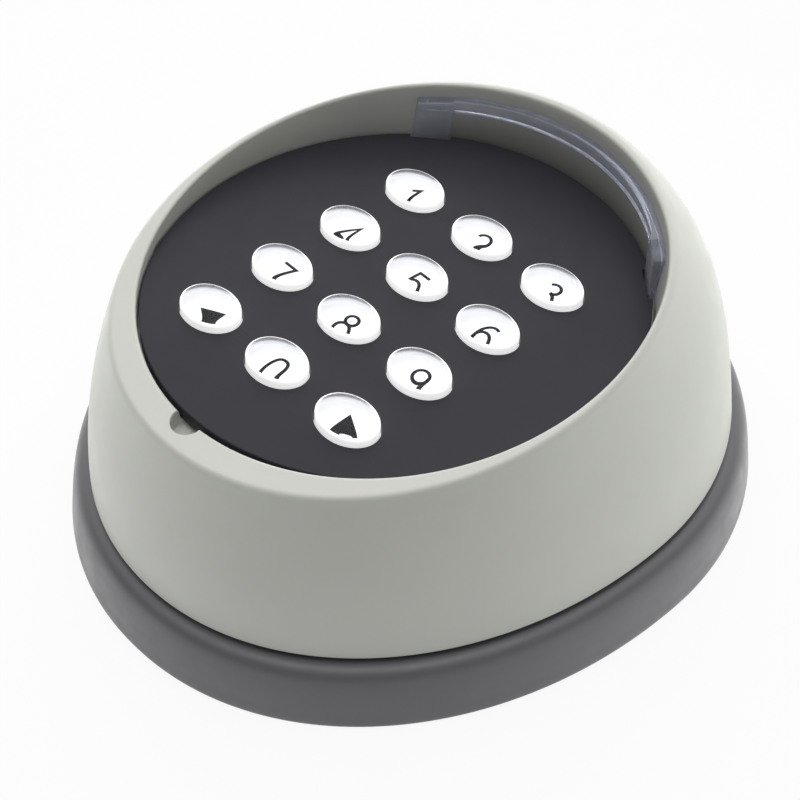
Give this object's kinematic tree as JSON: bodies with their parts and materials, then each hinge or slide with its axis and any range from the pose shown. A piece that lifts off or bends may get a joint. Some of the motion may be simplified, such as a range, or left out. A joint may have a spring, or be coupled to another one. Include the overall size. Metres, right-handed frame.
{
  "type": "wall keypad",
  "caption": "Oval wall keypad for access control: dark base, light hooded housing, recessed face with domed elliptical keys and a clear light guide.",
  "frame": {"origin": "centre of the base's rear face, the face that lies on the wall", "axes": "+Z out of the wall towards the user, +Y towards the hood (up when mounted), +X to the right of a person facing the keys"},
  "size_m": [0.0898, 0.0986, 0.04],
  "materials": {
    "housing_plastic": "light warm grey-green, finely textured",
    "base_plastic": "satin dark grey",
    "face_plastic": "satin charcoal",
    "key_clear": "clear polished cap with a white coat on its side",
    "key_white": "bright white carrier",
    "clear_guide": "clear, faintly blue light guide",
    "seal_rubber": "soft black rubber",
    "silicone": "translucent white silicone",
    "screw_steel": "zinc-plated steel",
    "can_metal": "pressed metal can",
    "board": "green solder mask",
    "chip_black": "moulded black",
    "led_body": "yellowish clear encapsulant",
    "capacitor_sleeve": "dark blue sleeve",
    "terminal_green": "green terminal housing"
  },
  "bodies": {
    "root": {"base_tray": "base_plastic", "wall_seal": "seal_rubber", "cable_grommet": "seal_rubber", "housing_seal": "seal_rubber", "housing": "housing_plastic", "case_screws": "screw_steel", "face_plate": "face_plastic", "light_guide": "clear_guide", "hood_leds": "led_body", "key_mat": "silicone", "circuit_board": "board", "board_screws": "screw_steel", "backlight_leds": "led_body", "microcontroller": "chip_black", "crystal": "can_metal", "voltage_regulator": "chip_black", "capacitors": "capacitor_sleeve", "buzzer": "chip_black", "terminal_block": "terminal_green", "terminal_screws": "screw_steel"},
    "key_1": {"key_1_cap": "key_clear", "key_1_body": "key_white"},
    "key_2": {"key_2_cap": "key_clear", "key_2_body": "key_white"},
    "key_3": {"key_3_cap": "key_clear", "key_3_body": "key_white"},
    "key_4": {"key_4_cap": "key_clear", "key_4_body": "key_white"},
    "key_5": {"key_5_cap": "key_clear", "key_5_body": "key_white"},
    "key_6": {"key_6_cap": "key_clear", "key_6_body": "key_white"},
    "key_7": {"key_7_cap": "key_clear", "key_7_body": "key_white"},
    "key_8": {"key_8_cap": "key_clear", "key_8_body": "key_white"},
    "key_9": {"key_9_cap": "key_clear", "key_9_body": "key_white"},
    "key_left": {"key_left_cap": "key_clear", "key_left_body": "key_white"},
    "key_0": {"key_0_cap": "key_clear", "key_0_body": "key_white"},
    "key_right": {"key_right_cap": "key_clear", "key_right_body": "key_white"}
  },
  "joints": [
    {"name": "key_1_press", "type": "slide", "parent": "root", "child": "key_1", "axis": [0, -0.0523, -0.9986], "range_m": [0, 0.0009], "stiffness_N_per_m": 550, "springref_m": -0.0006, "deforming": ["key_mat"]},
    {"name": "key_2_press", "type": "slide", "parent": "root", "child": "key_2", "axis": [0, -0.0523, -0.9986], "range_m": [0, 0.0009], "stiffness_N_per_m": 550, "springref_m": -0.0006, "deforming": ["key_mat"]},
    {"name": "key_3_press", "type": "slide", "parent": "root", "child": "key_3", "axis": [0, -0.0523, -0.9986], "range_m": [0, 0.0009], "stiffness_N_per_m": 550, "springref_m": -0.0006, "deforming": ["key_mat"]},
    {"name": "key_4_press", "type": "slide", "parent": "root", "child": "key_4", "axis": [0, -0.0523, -0.9986], "range_m": [0, 0.0009], "stiffness_N_per_m": 550, "springref_m": -0.0006, "deforming": ["key_mat"]},
    {"name": "key_5_press", "type": "slide", "parent": "root", "child": "key_5", "axis": [0, -0.0523, -0.9986], "range_m": [0, 0.0009], "stiffness_N_per_m": 550, "springref_m": -0.0006, "deforming": ["key_mat"]},
    {"name": "key_6_press", "type": "slide", "parent": "root", "child": "key_6", "axis": [0, -0.0523, -0.9986], "range_m": [0, 0.0009], "stiffness_N_per_m": 550, "springref_m": -0.0006, "deforming": ["key_mat"]},
    {"name": "key_7_press", "type": "slide", "parent": "root", "child": "key_7", "axis": [0, -0.0523, -0.9986], "range_m": [0, 0.0009], "stiffness_N_per_m": 550, "springref_m": -0.0006, "deforming": ["key_mat"]},
    {"name": "key_8_press", "type": "slide", "parent": "root", "child": "key_8", "axis": [0, -0.0523, -0.9986], "range_m": [0, 0.0009], "stiffness_N_per_m": 550, "springref_m": -0.0006, "deforming": ["key_mat"]},
    {"name": "key_9_press", "type": "slide", "parent": "root", "child": "key_9", "axis": [0, -0.0523, -0.9986], "range_m": [0, 0.0009], "stiffness_N_per_m": 550, "springref_m": -0.0006, "deforming": ["key_mat"]},
    {"name": "key_left_press", "type": "slide", "parent": "root", "child": "key_left", "axis": [0, -0.0523, -0.9986], "range_m": [0, 0.0009], "stiffness_N_per_m": 550, "springref_m": -0.0006, "deforming": ["key_mat"]},
    {"name": "key_0_press", "type": "slide", "parent": "root", "child": "key_0", "axis": [0, -0.0523, -0.9986], "range_m": [0, 0.0009], "stiffness_N_per_m": 550, "springref_m": -0.0006, "deforming": ["key_mat"]},
    {"name": "key_right_press", "type": "slide", "parent": "root", "child": "key_right", "axis": [0, -0.0523, -0.9986], "range_m": [0, 0.0009], "stiffness_N_per_m": 550, "springref_m": -0.0006, "deforming": ["key_mat"]}
  ]
}
